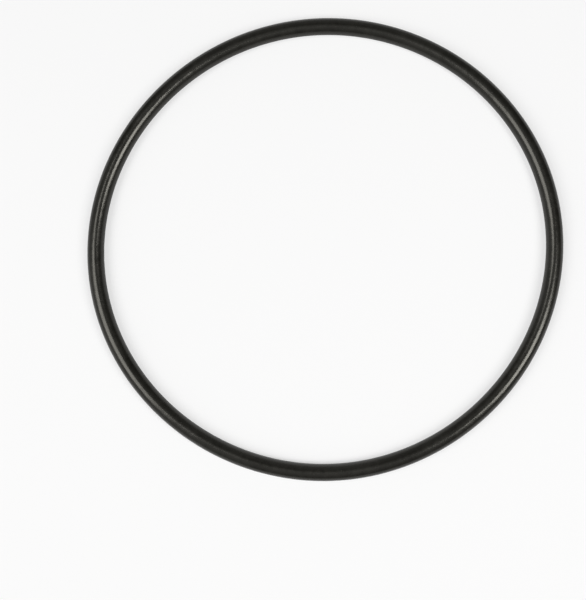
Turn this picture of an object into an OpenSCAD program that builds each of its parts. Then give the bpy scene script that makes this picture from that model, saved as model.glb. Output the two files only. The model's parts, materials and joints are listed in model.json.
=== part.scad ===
// Rubber O-ring: a closed ring of round section, moulded in one piece between two plates.
//
// The ring lies flat, with its axis on Z and the lowest line of its section on z = 0.
// The mould plates meet at half its height. Rubber that seeps between them sets as a thin
// fin of flash around the inside and the outside of the ring. It is trimmed off, and what
// stays is a low witness line with a flat land. The two lands are true cylinders: the
// first thing that a shaft or a housing meets.

/* [Ring] */
// Inside diameter of the free ring, measured to its round section
inside_d = 91.67; // [12:0.01:300]
// Diameter of the round section
section_d = 3.53; // [1:0.01:8.4]

/* [Witness line] */
// How far the trimmed flash stands proud of the round section
flash_h = 0.04; // [0.01:0.01:0.14]
// Width of the flat land that the trimming leaves, along the ring's axis
land_w = 0.16; // [0.06:0.01:0.3]
// How far each flank of the flash leans out from the land to its root
flank_w = 0.06; // [0.02:0.01:0.2]

/* [Hidden] */

section_r = section_d / 2;
pitch_r = inside_d / 2 + section_r;
root_half_w = land_w / 2 + flank_w;
// Where the flank meets the round section, measured from the section's centre
root_r = sqrt(section_r * section_r - root_half_w * root_half_w);
land_r = section_r + flash_h;
// Each flank runs on by its own length inside the rubber, so that it crosses the round section
sunk_r = 2 * root_r - land_r;
sunk_half_w = root_half_w + flank_w;
round_fn = 96;
rubber_black = [0.09, 0.09, 0.085];

// One line of trimmed flash on the section, which stands out along +X
module flash_profile() {
    polygon([
        [sunk_r, -sunk_half_w],
        [land_r, -land_w / 2],
        [land_r, land_w / 2],
        [sunk_r, sunk_half_w]
    ]);
}

// The whole section: the round cord with its two witness lines, at the outside and the inside
module ring_section() {
    circle(r = section_r, $fn = round_fn);
    for (side = [0, 180]) rotate(side) flash_profile();
}

// The moulded ring, turned around its axis
module o_ring() {
    color(rubber_black)
    translate([0, 0, section_r])
    rotate_extrude($fn = round_fn)
    translate([pitch_r, 0])
    ring_section();
}

o_ring();
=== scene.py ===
"""A moulded rubber O-ring lying flat on a pale table, dressed and lit as a studio picture.

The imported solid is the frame. Its mounts give the radii of the two trimmed flash lands, and its
box gives the round section. The ring is turned from that section as one closed mesh, finished
as black nitrile rubber, and shown under two softboxes by a camera that looks almost straight
down. All sizes are in metres and all angles in degrees, unless a name says otherwise.
"""

import json
import logging
import math
from collections.abc import Iterable
from dataclasses import dataclass, field
from enum import Enum

import bmesh
import bpy
from mathutils import Matrix, Vector, noise

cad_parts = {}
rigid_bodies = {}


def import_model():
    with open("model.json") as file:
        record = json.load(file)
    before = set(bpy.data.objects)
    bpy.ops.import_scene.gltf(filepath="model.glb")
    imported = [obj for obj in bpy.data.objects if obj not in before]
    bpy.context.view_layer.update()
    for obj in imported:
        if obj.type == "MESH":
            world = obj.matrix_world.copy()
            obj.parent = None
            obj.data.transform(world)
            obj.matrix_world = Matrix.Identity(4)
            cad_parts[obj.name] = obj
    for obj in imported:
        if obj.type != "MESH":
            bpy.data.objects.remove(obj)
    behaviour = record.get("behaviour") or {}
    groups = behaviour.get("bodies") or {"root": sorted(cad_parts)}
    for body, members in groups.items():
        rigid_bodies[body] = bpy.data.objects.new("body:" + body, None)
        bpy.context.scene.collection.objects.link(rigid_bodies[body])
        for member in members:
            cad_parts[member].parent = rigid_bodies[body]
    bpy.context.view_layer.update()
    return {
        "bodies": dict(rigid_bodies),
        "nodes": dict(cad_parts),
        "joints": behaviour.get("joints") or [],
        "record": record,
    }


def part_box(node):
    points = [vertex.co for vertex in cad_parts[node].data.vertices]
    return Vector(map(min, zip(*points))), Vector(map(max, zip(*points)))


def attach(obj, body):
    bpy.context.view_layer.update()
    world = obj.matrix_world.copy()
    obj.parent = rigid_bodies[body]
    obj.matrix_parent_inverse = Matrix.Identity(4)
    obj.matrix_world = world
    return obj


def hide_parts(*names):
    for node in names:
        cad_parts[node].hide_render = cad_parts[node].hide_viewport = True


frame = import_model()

log = logging.getLogger("o_ring_scene")

MM = 0.001
RING_NODE = "o_ring"
WHITE = (1.0, 1.0, 1.0, 1.0)


class Side(Enum):
    """The two sides of the ring that carry a line of trimmed flash."""

    INSIDE = -1
    OUTSIDE = 1


@dataclass(frozen=True)
class RingSizes:
    """The moulded ring's sizes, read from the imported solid."""

    section_r: float
    pitch_r: float
    land_w: float
    land_h: float

    @classmethod
    def from_frame(cls, packed: dict) -> "RingSizes":
        """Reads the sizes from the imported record's mounts and from the ring's box.


        Returns:
            The sizes in metres.
        """
        dims = {mount["name"]: mount["dims"] for mount in packed["record"]["mounts"]}
        inner_land_r = dims["shaft_seat"]["r_mm"] * MM
        outer_land_r = dims["housing_seat"]["r_mm"] * MM
        low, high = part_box(RING_NODE)
        section_d = high.z - low.z
        return cls(
            section_r=section_d / 2,
            pitch_r=(inner_land_r + outer_land_r) / 2,
            land_w=dims["shaft_seat"]["length_mm"] * MM,
            land_h=(outer_land_r - inner_land_r - section_d) / 2,
        )

    def land_r(self, side: Side) -> float:
        """Returns the radius of the trimmed land on one side of the ring."""
        return self.pitch_r + side.value * (self.section_r + self.land_h)


@dataclass(frozen=True)
class RelaxedShape:
    """How far the free ring lies out of round: slow lobes around its axis."""

    two_lobes: float = 0.706 * MM
    two_lobes_at: float = 13.1
    three_lobes: float = 0.04 * MM
    three_lobes_at: float = 46.0
    four_lobes: float = 0.08 * MM
    four_lobes_at: float = 8.5

    def offset(self, angle: float) -> float:
        """Gives the radial offset at an angle around the ring.

        Args:
            angle: the angle around the ring's axis, in radians.

        Returns:
            How far the rubber lies out from the true circle.
        """
        two = math.cos(2 * (angle - math.radians(self.two_lobes_at)))
        three = math.cos(3 * (angle - math.radians(self.three_lobes_at)))
        four = math.cos(4 * (angle - math.radians(self.four_lobes_at)))
        return self.two_lobes * two + self.three_lobes * three + self.four_lobes * four


@dataclass(frozen=True)
class TrimmedFlash:
    """The ragged line that trimming leaves where the two mould plates met."""

    flank_w: float = 0.06 * MM
    corner_r: float = 0.018 * MM
    corner_segments: int = 2
    ragged_share: float = 0.45
    ragged_length: float = 1.7 * MM
    wander: float = 0.03 * MM
    wander_length: float = 0.9 * MM
    side_seed: float = 7.0

    def height_share(self, place: Vector, side: Side) -> float:
        """Tells how much of its full height the flash keeps at one place.

        Args:
            place: a point on the land.
            side: the side of the ring that the point is on.

        Returns:
            A share of the full height, at most 1.
        """
        seed = Vector((0.0, 0.0, self.side_seed * side.value))
        raggedness = noise.noise(place / self.ragged_length + seed)
        return 1.0 - self.ragged_share * (0.5 + 0.5 * raggedness)

    def shift(self, place: Vector) -> float:
        """Tells how far the trimmed line wanders up or down at one place.

        Args:
            place: a point on the land or its flanks.

        Returns:
            The height to add.
        """
        return self.wander * noise.noise(place / self.wander_length)


@dataclass
class SpeckField:
    """A node group that scatters small uneven specks, such as dust or pits, over a surface."""

    name: str = "speck field"
    jags: float = 9.0
    unevenness: float = 2.2
    middle_grey: tuple[float, float, float] = (0.5, 0.5, 0.5)

    def group(self) -> bpy.types.ShaderNodeTree:
        """Builds the group, or gives the one that is there.

        Returns:
            The group, with inputs Vector, Cells, Radius and Share, and the output Mask.
        """
        if self.name in bpy.data.node_groups:
            return bpy.data.node_groups[self.name]
        tree = bpy.data.node_groups.new(self.name, "ShaderNodeTree")
        face = tree.interface
        face.new_socket("Vector", in_out="INPUT", socket_type="NodeSocketVector")
        for label in ("Cells", "Radius", "Share"):
            face.new_socket(label, in_out="INPUT", socket_type="NodeSocketFloat")
        face.new_socket("Mask", in_out="OUTPUT", socket_type="NodeSocketFloat")
        nodes = NodeLayout(tree)
        given = nodes.add("NodeGroupInput")
        jagged = nodes.add("ShaderNodeTexNoise", Detail=1.0)
        nodes.link(given.outputs["Vector"], jagged.inputs["Vector"])
        nodes.link(nodes.math("MULTIPLY", given.outputs["Cells"], self.jags), jagged.inputs["Scale"])
        push = nodes.vector("SUBTRACT", jagged.outputs["Color"], self.middle_grey)
        reach = nodes.math("DIVIDE", given.outputs["Radius"], given.outputs["Cells"])
        pushed = nodes.vector("SCALE", push.outputs["Vector"])
        nodes.link(nodes.math("MULTIPLY", reach, self.unevenness), pushed.inputs["Scale"])
        cells = nodes.add("ShaderNodeTexVoronoi")
        moved = nodes.vector("ADD", given.outputs["Vector"], pushed.outputs["Vector"])
        nodes.link(moved.outputs["Vector"], cells.inputs["Vector"])
        nodes.link(given.outputs["Cells"], cells.inputs["Scale"])
        chance = nodes.add("ShaderNodeSeparateColor")
        nodes.link(cells.outputs["Color"], chance.inputs["Color"])
        chosen = nodes.math("LESS_THAN", chance.outputs["Red"], given.outputs["Share"])
        size = nodes.math("MULTIPLY", chance.outputs["Green"], given.outputs["Radius"])
        near = nodes.math("LESS_THAN", cells.outputs["Distance"], size)
        mask = nodes.math("MULTIPLY", chosen, near)
        out = nodes.add("NodeGroupOutput")
        nodes.link(mask, out.inputs["Mask"])
        return tree


@dataclass
class Mottle:
    """A node group for soft patches, such as bloom on rubber."""

    name: str = "mottle"
    detail: float = 4.0
    roughness: float = 0.55
    darkest: float = 0.3
    brightest: float = 0.7

    def group(self) -> bpy.types.ShaderNodeTree:
        """Builds the group, or gives the one that is there.

        Returns:
            The group, with inputs Vector, Scale, Low and High, and the output Value.
        """
        if self.name in bpy.data.node_groups:
            return bpy.data.node_groups[self.name]
        tree = bpy.data.node_groups.new(self.name, "ShaderNodeTree")
        face = tree.interface
        face.new_socket("Vector", in_out="INPUT", socket_type="NodeSocketVector")
        for label in ("Scale", "Low", "High"):
            face.new_socket(label, in_out="INPUT", socket_type="NodeSocketFloat")
        face.new_socket("Value", in_out="OUTPUT", socket_type="NodeSocketFloat")
        nodes = NodeLayout(tree)
        given = nodes.add("NodeGroupInput")
        cloud = nodes.add("ShaderNodeTexNoise", Detail=self.detail, Roughness=self.roughness)
        nodes.link(given.outputs["Vector"], cloud.inputs["Vector"])
        nodes.link(given.outputs["Scale"], cloud.inputs["Scale"])
        spread = nodes.add("ShaderNodeMapRange", From_Min=self.darkest, From_Max=self.brightest)
        nodes.link(cloud.outputs["Fac"], spread.inputs["Value"])
        nodes.link(given.outputs["Low"], spread.inputs["To Min"])
        nodes.link(given.outputs["High"], spread.inputs["To Max"])
        out = nodes.add("NodeGroupOutput")
        nodes.link(spread.outputs["Result"], out.inputs["Value"])
        return tree


class NodeLayout:
    """Adds and joins the nodes of one node tree."""

    def __init__(self, tree: bpy.types.NodeTree) -> None:
        """Takes the tree that the nodes go into."""
        self.tree = tree

    def add(self, kind: str, **inputs: float | tuple) -> bpy.types.Node:
        """Adds a node and sets its inputs.

        Args:
            kind: the node's type name.
            **inputs: values by input name, with _ for a space.

        Returns:
            The new node.
        """
        node = self.tree.nodes.new(kind)
        for label, value in inputs.items():
            node.inputs[label.replace("_", " ")].default_value = value
        return node

    def link(self, out: bpy.types.NodeSocket, into: bpy.types.NodeSocket) -> None:
        """Joins one node's output to another's input."""
        self.tree.links.new(out, into)

    def math(self, operation: str, *values: bpy.types.NodeSocket | float) -> bpy.types.NodeSocket:
        """Adds one math node.

        Args:
            operation: the node's operation, such as MULTIPLY.
            *values: its inputs in order, each an output socket or a number.

        Returns:
            The node's output.
        """
        node = self.tree.nodes.new("ShaderNodeMath")
        node.operation = operation
        for place, value in enumerate(values):
            if isinstance(value, bpy.types.NodeSocket):
                self.tree.links.new(value, node.inputs[place])
            else:
                node.inputs[place].default_value = value
        return node.outputs[0]

    def vector(self, operation: str, *values: bpy.types.NodeSocket | tuple) -> bpy.types.Node:
        """Adds one vector math node.

        Args:
            operation: the node's operation, such as ADD.
            *values: its inputs in order, each an output socket or a plain vector.

        Returns:
            The node.
        """
        node = self.tree.nodes.new("ShaderNodeVectorMath")
        node.operation = operation
        for place, value in enumerate(values):
            if isinstance(value, bpy.types.NodeSocket):
                self.tree.links.new(value, node.inputs[place])
            else:
                node.inputs[place].default_value = value
        return node

    def mix_colour(
        self,
        factor: bpy.types.NodeSocket,
        first: bpy.types.NodeSocket | tuple[float, float, float, float],
        second: tuple[float, float, float, float],
    ) -> bpy.types.NodeSocket:
        """Mixes a colour into another.

        Args:
            factor: how much of the second colour shows.
            first: the colour at a factor of 0, as a socket or as a plain colour.
            second: the colour at a factor of 1.

        Returns:
            The mixed colour.
        """
        node = self.tree.nodes.new("ShaderNodeMix")
        node.data_type = "RGBA"
        under, over = (socket for socket in node.inputs if socket.type == "RGBA")
        self.tree.links.new(factor, node.inputs["Factor"])
        if isinstance(first, bpy.types.NodeSocket):
            self.tree.links.new(first, under)
        else:
            under.default_value = first
        over.default_value = second
        return next(socket for socket in node.outputs if socket.type == "RGBA")

    def group(self, tree: bpy.types.NodeTree, **inputs: float) -> bpy.types.Node:
        """Places a node group and sets its inputs.

        Args:
            tree: the group's own tree.
            **inputs: values by input name.

        Returns:
            The new group node.
        """
        node = self.tree.nodes.new("ShaderNodeGroup")
        node.node_tree = tree
        for label, value in inputs.items():
            node.inputs[label].default_value = value
        return node


def new_material(name: str) -> tuple[bpy.types.Material, NodeLayout, bpy.types.Node]:
    """Makes a material that holds a Principled BSDF and its output.

    Args:
        name: the material's name.

    Returns:
        The material, its node layout and the shader node.
    """
    material = bpy.data.materials.new(name)
    material.use_nodes = True
    material.node_tree.nodes.clear()
    nodes = NodeLayout(material.node_tree)
    shader = nodes.add("ShaderNodeBsdfPrincipled")
    out = nodes.add("ShaderNodeOutputMaterial")
    nodes.link(shader.outputs["BSDF"], out.inputs["Surface"])
    return material, nodes, shader


@dataclass(frozen=True)
class NitrileRubber:
    """Moulded black nitrile rubber: smooth and softly glossy, with the mould's own fine lines."""

    uv_map: str
    dark: tuple[float, float, float, float] = (0.0090, 0.0087, 0.0073, 1.0)
    bloom: tuple[float, float, float, float] = (0.0210, 0.0204, 0.0178, 1.0)
    trimmed: tuple[float, float, float, float] = (0.062, 0.060, 0.054, 1.0)
    dust: tuple[float, float, float, float] = (0.14, 0.135, 0.12, 1.0)
    specular_tint: tuple[float, float, float, float] = (1.0, 0.985, 0.92, 1.0)
    gloss: float = 0.165
    dull: float = 0.275
    land_roughness: float = 0.6
    land_tear: float = 0.4 * MM
    land_tear_depth: float = 0.1 * MM
    land_tear_detail: float = 3.0
    patch: float = 6.0 * MM
    cloud: float = 1.1 * MM
    cloud_share: float = 0.45
    wave: float = 2.4 * MM
    wave_depth: float = 0.035 * MM
    wave_detail: float = 1.0
    mould_lines: float = 150.0
    mould_line_turns: float = 2.4
    mould_line_depth: float = 0.0022 * MM
    mould_line_detail: float = 1.0
    grain: float = 0.2 * MM
    grain_depth: float = 0.003 * MM
    grain_detail: float = 2.0
    pit_cell: float = 0.5 * MM
    pit_radius: float = 0.13
    pit_share: float = 0.35
    pit_depth: float = 0.004 * MM
    speck_cell: float = 1.3 * MM
    speck_radius: float = 0.08
    speck_share: float = 0.22

    def build(self, sizes: RingSizes) -> bpy.types.Material:
        """Builds the material.

        Args:
            sizes: the ring's sizes, which place the trimmed land.

        Returns:
            The finished material.
        """
        material, nodes, shader = new_material("nitrile rubber")
        place = nodes.add("ShaderNodeTexCoord").outputs["Object"]
        bloomed = self._bloomed(nodes, place)
        specks = nodes.group(
            SpeckField().group(),
            Cells=1 / self.speck_cell,
            Radius=self.speck_radius,
            Share=self.speck_share,
        )
        nodes.link(place, specks.inputs["Vector"])

        land = self._is_land(nodes, place, sizes)
        skin = nodes.mix_colour(bloomed, self.dark, self.bloom)
        rubber = nodes.mix_colour(land, skin, self.trimmed)
        dusted = nodes.mix_colour(specks.outputs["Mask"], rubber, self.dust)
        nodes.link(dusted, shader.inputs["Base Color"])

        sheen = nodes.add("ShaderNodeMapRange", To_Min=self.gloss, To_Max=self.dull)
        nodes.link(bloomed, sheen.inputs["Value"])
        matt = nodes.math("MAXIMUM", land, specks.outputs["Mask"])
        rough = nodes.add("ShaderNodeMix")
        nodes.link(matt, rough.inputs["Factor"])
        nodes.link(sheen.outputs["Result"], rough.inputs["A"])
        rough.inputs["B"].default_value = self.land_roughness
        nodes.link(rough.outputs["Result"], shader.inputs["Roughness"])

        relief = nodes.add("ShaderNodeBump", Distance=1.0)
        nodes.link(self._height(nodes, place), relief.inputs["Height"])
        nodes.link(relief.outputs["Normal"], shader.inputs["Normal"])
        shader.inputs["Specular Tint"].default_value = self.specular_tint
        return material

    def _bloomed(self, nodes: NodeLayout, place: bpy.types.NodeSocket) -> bpy.types.NodeSocket:
        """Gives how far the surface has bloomed, in slow patches and finer clouds.

        Args:
            nodes: the material's node layout.
            place: the surface's own coordinates.

        Returns:
            A value from 0 to 1.
        """
        patches = nodes.group(Mottle().group(), Scale=1 / self.patch, Low=0.0, High=1.0)
        nodes.link(place, patches.inputs["Vector"])
        clouds = nodes.group(Mottle().group(), Scale=1 / self.cloud, Low=0.0, High=1.0)
        nodes.link(place, clouds.inputs["Vector"])
        both = nodes.add("ShaderNodeMix", Factor=self.cloud_share)
        nodes.link(patches.outputs["Value"], both.inputs["A"])
        nodes.link(clouds.outputs["Value"], both.inputs["B"])
        return both.outputs["Result"]

    def _is_land(
        self, nodes: NodeLayout, place: bpy.types.NodeSocket, sizes: RingSizes
    ) -> bpy.types.NodeSocket:
        """Marks the trimmed lands, which lie at the mould's parting plane and have torn edges.

        Args:
            nodes: the material's node layout.
            place: the surface's own coordinates.
            sizes: the ring's sizes.

        Returns:
            1 on a land and 0 elsewhere.
        """
        parts = nodes.add("ShaderNodeSeparateXYZ")
        nodes.link(place, parts.inputs["Vector"])
        off_middle = nodes.math("SUBTRACT", parts.outputs["Z"], sizes.section_r)
        tear = nodes.add("ShaderNodeTexNoise", Scale=1 / self.land_tear, Detail=self.land_tear_detail)
        nodes.link(place, tear.inputs["Vector"])
        thinnest = (sizes.land_w - self.land_tear_depth) / 2
        half_w = nodes.math("MULTIPLY_ADD", tear.outputs["Fac"], self.land_tear_depth, thinnest)
        return nodes.math("LESS_THAN", nodes.math("ABSOLUTE", off_middle), half_w)

    def _height(self, nodes: NodeLayout, place: bpy.types.NodeSocket) -> bpy.types.NodeSocket:
        """Adds up the surface's fine relief: slow waves, the mould's turned lines, grain and pits.

        Args:
            nodes: the material's node layout.
            place: the surface's own coordinates.

        Returns:
            The height in metres.
        """
        waves = nodes.add("ShaderNodeTexNoise", Scale=1 / self.wave, Detail=self.wave_detail)
        nodes.link(place, waves.inputs["Vector"])
        grain = nodes.add("ShaderNodeTexNoise", Scale=1 / self.grain, Detail=self.grain_detail)
        nodes.link(place, grain.inputs["Vector"])
        lines = self._mould_lines(nodes, place)

        height = nodes.math("MULTIPLY", waves.outputs["Fac"], self.wave_depth)
        height = nodes.math("MULTIPLY_ADD", lines, self.mould_line_depth, height)
        height = nodes.math("MULTIPLY_ADD", grain.outputs["Fac"], self.grain_depth, height)
        pits = nodes.group(
            SpeckField().group(),
            Cells=1 / self.pit_cell,
            Radius=self.pit_radius,
            Share=self.pit_share,
        )
        nodes.link(place, pits.inputs["Vector"])
        return nodes.math("MULTIPLY_ADD", pits.outputs["Mask"], -self.pit_depth, height)

    def _mould_lines(self, nodes: NodeLayout, place: bpy.types.NodeSocket) -> bpy.types.NodeSocket:
        """Draws the lines that the mould's turned groove leaves, long along the ring and fine across.

        Args:
            nodes: the material's node layout.
            place: the surface's own coordinates.

        Returns:
            A value around a half that rises and falls across the lines.
        """
        unrolled = nodes.add("ShaderNodeUVMap")
        unrolled.uv_map = self.uv_map
        around = nodes.add("ShaderNodeSeparateXYZ")
        nodes.link(unrolled.outputs["UV"], around.inputs["Vector"])
        along = nodes.add("ShaderNodeSeparateXYZ")
        nodes.link(nodes.vector("NORMALIZE", place).outputs["Vector"], along.inputs["Vector"])
        drawn = nodes.add("ShaderNodeCombineXYZ")
        for axis in ("X", "Y"):
            turned = nodes.math("MULTIPLY", along.outputs[axis], self.mould_line_turns)
            nodes.link(turned, drawn.inputs[axis])
        across = nodes.math("MULTIPLY", around.outputs["Y"], self.mould_lines)
        nodes.link(across, drawn.inputs["Z"])
        lines = nodes.add("ShaderNodeTexNoise", Scale=1.0, Detail=self.mould_line_detail)
        nodes.link(drawn.outputs["Vector"], lines.inputs["Vector"])
        return lines.outputs["Fac"]


@dataclass
class MouldedRing:
    """The O-ring: one closed ring of round section with a line of trimmed flash on each side."""

    sizes: RingSizes
    relaxed: RelaxedShape = field(default_factory=RelaxedShape)
    flash: TrimmedFlash = field(default_factory=TrimmedFlash)
    uv_map: str = "along_and_around"
    section_segments: int = 64
    arc_steps: int = 60
    doublings: int = 4
    merge_distance: float = 0.001 * MM
    height_slack: float = 0.001
    proud_share: float = 0.25

    def build(self) -> bpy.types.Object:
        """Builds, dresses and seats the ring.

        Returns:
            The finished piece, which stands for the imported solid.
        """
        mesh = bmesh.new()
        self._draw_section(mesh)
        self._raise_flash(mesh)
        self._turn(mesh)
        self._round_land_corners(mesh)
        bmesh.ops.recalc_face_normals(mesh, faces=mesh.faces)
        self._unroll(mesh)
        self._relax(mesh)
        ring = self._as_object(mesh, "moulded_ring")
        ring.data.materials.append(NitrileRubber(self.uv_map).build(self.sizes))
        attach(ring, "root")
        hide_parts(RING_NODE)
        return ring

    def _draw_section(self, mesh: bmesh.types.BMesh) -> None:
        """Draws the round section upright at the ring's +X side.

        Args:
            mesh: the ring's mesh in the making.
        """
        bmesh.ops.create_circle(mesh, segments=self.section_segments, radius=self.sizes.section_r)
        upright = Matrix.Rotation(math.pi / 2, 4, "X")
        seated = Matrix.Translation((self.sizes.pitch_r, 0.0, self.sizes.section_r))
        bmesh.ops.transform(mesh, matrix=seated @ upright, verts=mesh.verts)

    def _raise_flash(self, mesh: bmesh.types.BMesh) -> None:
        """Cuts the section at the flash's edges and brings the land out to its own radius.

        Args:
            mesh: the ring's mesh in the making.
        """
        half_land = self.sizes.land_w / 2
        for half_w in (half_land, half_land + self.flash.flank_w):
            for height in (self.sizes.section_r - half_w, self.sizes.section_r + half_w):
                bmesh.ops.bisect_plane(
                    mesh,
                    geom=mesh.verts[:] + mesh.edges[:],
                    plane_co=(0.0, 0.0, height),
                    plane_no=(0.0, 0.0, 1.0),
                )
        for vert in mesh.verts:
            if self._on_land(vert.co):
                vert.co.x = self.sizes.land_r(self._side(vert.co))

    def _turn(self, mesh: bmesh.types.BMesh) -> None:
        """Turns the section through one arc, then doubles the arc until the ring is closed.

        Args:
            mesh: the ring's mesh in the making.
        """
        bmesh.ops.spin(
            mesh,
            geom=mesh.verts[:] + mesh.edges[:],
            cent=(0.0, 0.0, 0.0),
            axis=(0.0, 0.0, 1.0),
            angle=math.tau / 2**self.doublings,
            steps=self.arc_steps,
        )
        for doubling in range(self.doublings, 0, -1):
            copy = bmesh.ops.duplicate(mesh, geom=mesh.verts[:] + mesh.edges[:] + mesh.faces[:])
            verts = [item for item in copy["geom"] if isinstance(item, bmesh.types.BMVert)]
            onward = Matrix.Rotation(math.tau / 2**doubling, 3, "Z")
            bmesh.ops.rotate(mesh, verts=verts, cent=(0.0, 0.0, 0.0), matrix=onward)
        bmesh.ops.remove_doubles(mesh, verts=mesh.verts, dist=self.merge_distance)

    def _round_land_corners(self, mesh: bmesh.types.BMesh) -> None:
        """Rounds the two corners of each land.

        Args:
            mesh: the ring's mesh in the making.
        """
        corners = [
            edge
            for edge in mesh.edges
            if all(self._on_corner(vert.co) for vert in edge.verts)
            and math.isclose(edge.verts[0].co.z, edge.verts[1].co.z, abs_tol=self.merge_distance)
        ]
        bmesh.ops.bevel(
            mesh,
            geom=corners,
            offset=self.flash.corner_r,
            affect="EDGES",
            segments=self.flash.corner_segments,
            profile=0.5,
            material=-1,
        )

    def _relax(self, mesh: bmesh.types.BMesh) -> None:
        """Trims the flash unevenly, and lets the ring lie a little out of round.

        Args:
            mesh: the ring's mesh in the making.
        """
        sizes = self.sizes
        for vert in mesh.verts:
            radius = math.hypot(vert.co.x, vert.co.y)
            side = self._side(vert.co)
            across = Vector((radius - sizes.pitch_r, vert.co.z - sizes.section_r))
            proud = across.length - sizes.section_r
            if proud > sizes.land_h * self.proud_share and abs(across.y) < sizes.land_w:
                radius -= side.value * proud * (1 - self.flash.height_share(vert.co, side))
                vert.co.z += self.flash.shift(vert.co)
            radius += self.relaxed.offset(math.atan2(vert.co.y, vert.co.x))
            around = Vector((vert.co.x, vert.co.y)).normalized() * radius
            vert.co.x, vert.co.y = around

    def _unroll(self, mesh: bmesh.types.BMesh) -> None:
        """Lays a UV map along the ring (U) and around its section (V), with its seam underneath.

        Args:
            mesh: the ring's mesh in the making.
        """
        layer = mesh.loops.layers.uv.new(self.uv_map)
        for face in mesh.faces:
            middle = self._turn_and_tilt(face.calc_center_median())
            for loop in face.loops:
                here = self._turn_and_tilt(loop.vert.co)
                loop[layer].uv = [
                    value - round(value - centre) for value, centre in zip(here, middle, strict=True)
                ]

    def _turn_and_tilt(self, place: Vector) -> tuple[float, float]:
        """Gives a point's share of a turn along the ring, and of one around its section.

        Args:
            place: the point.

        Returns:
            The two shares, each from 0 to 1.
        """
        along = math.atan2(place.y, place.x) / math.tau
        out = math.hypot(place.x, place.y) - self.sizes.pitch_r
        around = math.atan2(out, place.z - self.sizes.section_r) / math.tau
        return along % 1.0, (around + 0.5) % 1.0

    def _off_middle(self, place: Vector) -> float:
        """Returns how far a point lies above or below the mould's parting plane."""
        return abs(place.z - self.sizes.section_r)

    def _on_land(self, place: Vector) -> bool:
        """Returns whether a point is at the height of the trimmed land."""
        return self._off_middle(place) <= self.sizes.land_w / 2 * (1 + self.height_slack)

    def _on_corner(self, place: Vector) -> bool:
        """Returns whether a point is at the height of one of the land's two corners."""
        return math.isclose(self._off_middle(place), self.sizes.land_w / 2, rel_tol=self.height_slack)

    def _side(self, place: Vector) -> Side:
        """Returns which side of the ring a point is on."""
        return Side.OUTSIDE if math.hypot(place.x, place.y) > self.sizes.pitch_r else Side.INSIDE

    @staticmethod
    def _as_object(mesh: bmesh.types.BMesh, name: str) -> bpy.types.Object:
        """Turns the finished mesh into a smooth-shaded object at the origin.

        Args:
            mesh: the finished mesh, which is used up.
            name: the object's name.

        Returns:
            The object.
        """
        for face in mesh.faces:
            face.smooth = True
        data = bpy.data.meshes.new(name)
        mesh.to_mesh(data)
        mesh.free()
        piece = bpy.data.objects.new(name, data)
        bpy.context.scene.collection.objects.link(piece)
        return piece


@dataclass(frozen=True)
class Softbox:
    """One softbox of the studio, which faces the ring."""

    name: str
    azimuth: float
    zenith: float
    distance: float
    width: float
    length: float
    turned: float
    radiance: float
    colour: tuple[float, float, float] = (1.0, 0.99, 0.955)

    def build(self, aim: Vector) -> bpy.types.Object:
        """Hangs the softbox.

        Args:
            aim: the point that it faces.

        Returns:
            The lamp object.
        """
        turn, lean = math.radians(self.azimuth), math.radians(self.zenith)
        away = Vector((math.sin(lean) * math.cos(turn), math.sin(lean) * math.sin(turn), math.cos(lean)))
        data = bpy.data.lights.new(self.name, "AREA")
        data.shape = "RECTANGLE"
        data.size = self.width
        data.size_y = self.length
        data.energy = self.radiance * math.pi * self.width * self.length
        data.color = self.colour
        lamp = bpy.data.objects.new(self.name, data)
        lamp.location = aim + away * self.distance
        faced = away.to_track_quat("Z", "Y").to_matrix()
        lamp.rotation_euler = (faced @ Matrix.Rotation(math.radians(self.turned), 3, "Z")).to_euler()
        bpy.context.scene.collection.objects.link(lamp)
        return lamp


@dataclass(frozen=True)
class PaleTable:
    """The plain pale surface that the ring lies on, which fades into the backdrop far from it."""

    radius: float = 4.0
    segments: int = 96
    colour: tuple[float, float, float, float] = (0.447, 0.45, 0.462, 1.0)
    lift: float = 0.555
    mirrored_share: float = 0.6
    far_lift: float = 0.285
    fade_from: float = 0.1
    fade_to: float = 0.8
    roughness: float = 0.9

    def build(self) -> bpy.types.Object:
        """Builds the table top.

        Returns:
            The table.
        """
        mesh = bmesh.new()
        bmesh.ops.create_circle(mesh, cap_ends=True, segments=self.segments, radius=self.radius)
        bmesh.ops.recalc_face_normals(mesh, faces=mesh.faces)
        data = bpy.data.meshes.new("table_top")
        mesh.to_mesh(data)
        mesh.free()
        table = bpy.data.objects.new("table_top", data)
        bpy.context.scene.collection.objects.link(table)
        table.data.materials.append(self._finish())
        return table

    def _finish(self) -> bpy.types.Material:
        """Makes the table's matt white, lifted a little where it is seen or reflected.

        Returns:
            The finished material.
        """
        material, nodes, shader = new_material("pale table")
        shader.inputs["Base Color"].default_value = self.colour
        shader.inputs["Roughness"].default_value = self.roughness
        shader.inputs["Specular IOR Level"].default_value = 0.0
        path = nodes.add("ShaderNodeLightPath")
        seen = nodes.math("MAXIMUM", path.outputs["Is Camera Ray"], path.outputs["Is Transmission Ray"])
        seen = nodes.math("MULTIPLY_ADD", path.outputs["Is Glossy Ray"], self.mirrored_share, seen)
        away = nodes.vector("LENGTH", nodes.add("ShaderNodeTexCoord").outputs["Object"])
        fade = nodes.add(
            "ShaderNodeMapRange",
            From_Min=self.fade_from,
            From_Max=self.fade_to,
            To_Max=self.far_lift,
        )
        fade.interpolation_type = "SMOOTHSTEP"
        nodes.link(away.outputs["Value"], fade.inputs["Value"])
        far = nodes.math("MULTIPLY", path.outputs["Is Camera Ray"], fade.outputs["Result"])
        shader.inputs["Emission Color"].default_value = WHITE
        nodes.link(nodes.math("MULTIPLY_ADD", seen, self.lift, far), shader.inputs["Emission Strength"])
        return material


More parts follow.
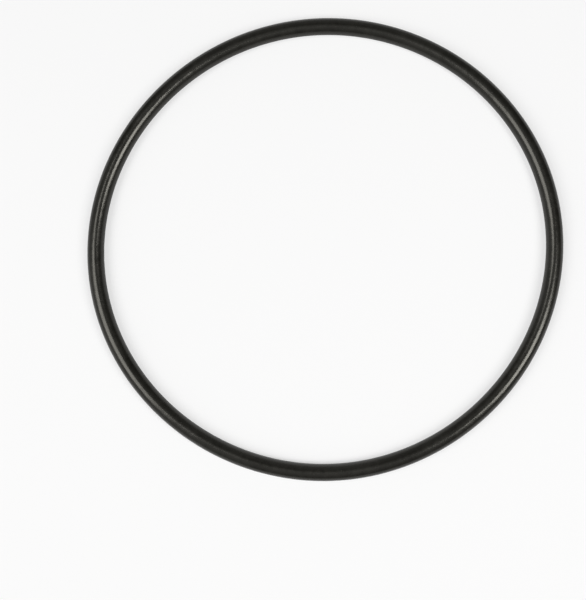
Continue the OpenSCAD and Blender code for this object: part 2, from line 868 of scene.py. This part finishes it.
@dataclass(frozen=True)
class RoomLight:
    """The dim light of the room: a soft band over the near side, a far glow and pale low walls.

    A direction's x, y and z are those of a unit vector. The band is brightest at near_y, falls
    with the square of the distance from it, and grows towards the left. The glow grows straight
    away from the camera's side, and fades to nothing half way round to the left and right.
    Behind the table stands a white backdrop, which a glossy surface sees up to sweep_top.
    """

    peak: float = 0.366
    near_y: float = -0.335
    fall: float = 0.759
    left_gain: float = 0.229
    far_glow: float = 0.318
    walls: float = 0.28
    wall_top: float = 0.4
    backdrop: float = 0.96
    sweep_top: float = 0.12

    def build(self) -> bpy.types.World:
        """Builds the world.

        Returns:
            The world, set on the scene.
        """
        world = bpy.data.worlds.new("room")
        world.use_nodes = True
        world.node_tree.nodes.clear()
        nodes = NodeLayout(world.node_tree)
        direction = nodes.add("ShaderNodeTexCoord").outputs["Generated"]
        parts = nodes.add("ShaderNodeSeparateXYZ")
        nodes.link(direction, parts.inputs["Vector"])
        off_band = nodes.math("SUBTRACT", parts.outputs["Y"], self.near_y)
        band = nodes.math(
            "MULTIPLY_ADD", nodes.math("MULTIPLY", off_band, off_band), -self.fall, self.peak
        )
        tilted = nodes.math("MULTIPLY_ADD", parts.outputs["X"], -self.left_gain, band)
        far = nodes.math("MAXIMUM", parts.outputs["Y"], 0.0)
        aside = nodes.math("MULTIPLY", parts.outputs["X"], parts.outputs["X"])
        glow = nodes.math("SUBTRACT", nodes.math("MULTIPLY", far, far), aside)
        ceiling = nodes.math(
            "MULTIPLY_ADD",
            nodes.math("MAXIMUM", glow, 0.0),
            self.far_glow,
            nodes.math("MAXIMUM", tilted, 0.0),
        )
        fade = nodes.add("ShaderNodeMapRange", From_Max=self.wall_top, To_Min=self.walls)
        fade.interpolation_type = "SMOOTHSTEP"
        nodes.link(parts.outputs["Z"], fade.inputs["Value"])
        nodes.link(ceiling, fade.inputs["To Max"])
        path = nodes.add("ShaderNodeLightPath")
        seen = nodes.math("MAXIMUM", path.outputs["Is Camera Ray"], path.outputs["Is Transmission Ray"])
        sweep = nodes.add("ShaderNodeMapRange", From_Max=self.sweep_top, To_Min=1.0, To_Max=0.0)
        nodes.link(parts.outputs["Z"], sweep.inputs["Value"])
        mirrored = nodes.math("MULTIPLY", path.outputs["Is Glossy Ray"], sweep.outputs["Result"])
        seen = nodes.math("MAXIMUM", seen, mirrored)
        shown = nodes.add("ShaderNodeMix")
        nodes.link(seen, shown.inputs["Factor"])
        nodes.link(fade.outputs["Result"], shown.inputs["A"])
        shown.inputs["B"].default_value = self.backdrop
        light = nodes.add("ShaderNodeBackground", Color=WHITE)
        nodes.link(shown.outputs["Result"], light.inputs["Strength"])
        out = nodes.add("ShaderNodeOutputWorld")
        nodes.link(light.outputs["Background"], out.inputs["Surface"])
        bpy.context.scene.world = world
        return world


@dataclass(frozen=True)
class PictureCamera:
    """A camera close above the ring, which frames it as the picture does."""

    picture_w: float = 586.0
    picture_h: float = 600.0
    ring_x: float = 323.64
    ring_y: float = 248.20
    ring_r: float = 226.01
    lean_right: float = 2.17
    lean_up: float = -1.63
    distance: float = 0.24
    sensor: float = 36.0
    nearest: float = 0.01

    def build(self, sizes: RingSizes) -> bpy.types.Object:
        """Places the camera.

        Args:
            sizes: the ring's sizes, which set the picture's scale.

        Returns:
            The camera object, set as the scene's camera.
        """
        lean = (math.tan(math.radians(self.lean_right)), math.tan(math.radians(self.lean_up)), 1.0)
        back = Vector(lean).normalized()
        image_right = Vector((0.0, 1.0, 0.0)).cross(back).normalized()
        image_up = back.cross(image_right)

        pixels_per_metre = self.ring_r / sizes.pitch_r
        right = (self.ring_x - self.picture_w / 2) / pixels_per_metre
        above = (self.picture_h / 2 - self.ring_y) / pixels_per_metre
        ring_centre = Vector((0.0, 0.0, sizes.section_r))
        data = bpy.data.cameras.new("picture camera")
        data.sensor_width = self.sensor
        data.lens = self.sensor * pixels_per_metre * self.distance / self.picture_h
        data.clip_start = self.nearest
        camera = bpy.data.objects.new("picture camera", data)
        turned = Matrix((image_right, image_up, back)).transposed().to_4x4()
        place = ring_centre + back * self.distance - image_right * right - image_up * above
        camera.matrix_world = Matrix.Translation(place) @ turned
        bpy.context.scene.collection.objects.link(camera)
        bpy.context.scene.camera = camera
        return camera


def default_softboxes() -> tuple[Softbox, ...]:
    """Gives the two softboxes that the picture's reflections show.

    Returns:
        The left softbox and the right one.
    """
    return (
        Softbox(
            "left softbox",
            azimuth=193.7,
            zenith=33.0,
            distance=0.5,
            width=0.354,
            length=0.221,
            turned=-64.5,
            radiance=4.4,
        ),
        Softbox(
            "right softbox",
            azimuth=336.5,
            zenith=33.4,
            distance=0.5,
            width=0.273,
            length=0.135,
            turned=84.1,
            radiance=9.5,
        ),
    )


@dataclass(frozen=True)
class Studio:
    """The table, the light and the camera."""

    table: PaleTable = field(default_factory=PaleTable)
    room: RoomLight = field(default_factory=RoomLight)
    softboxes: tuple[Softbox, ...] = field(default_factory=default_softboxes)
    camera: PictureCamera = field(default_factory=PictureCamera)

    def build(self, sizes: RingSizes) -> None:
        """Builds the stage around the ring.

        Args:
            sizes: the ring's sizes, which the camera and the lamps aim at.
        """
        self.camera.build(sizes)
        self.table.build()
        self.room.build()
        for softbox in self.softboxes:
            softbox.build(Vector((0.0, 0.0, sizes.section_r)))
        bpy.context.scene.view_settings.view_transform = "Standard"


def main() -> None:
    logging.basicConfig(level=logging.INFO, format="%(message)s")
    sizes = RingSizes.from_frame(frame)
    Studio().build(sizes)
    ring = MouldedRing(sizes).build()
    log.info("%s: %d faces", ring.name, len(ring.data.polygons))


if __name__ == "__main__":
    main()
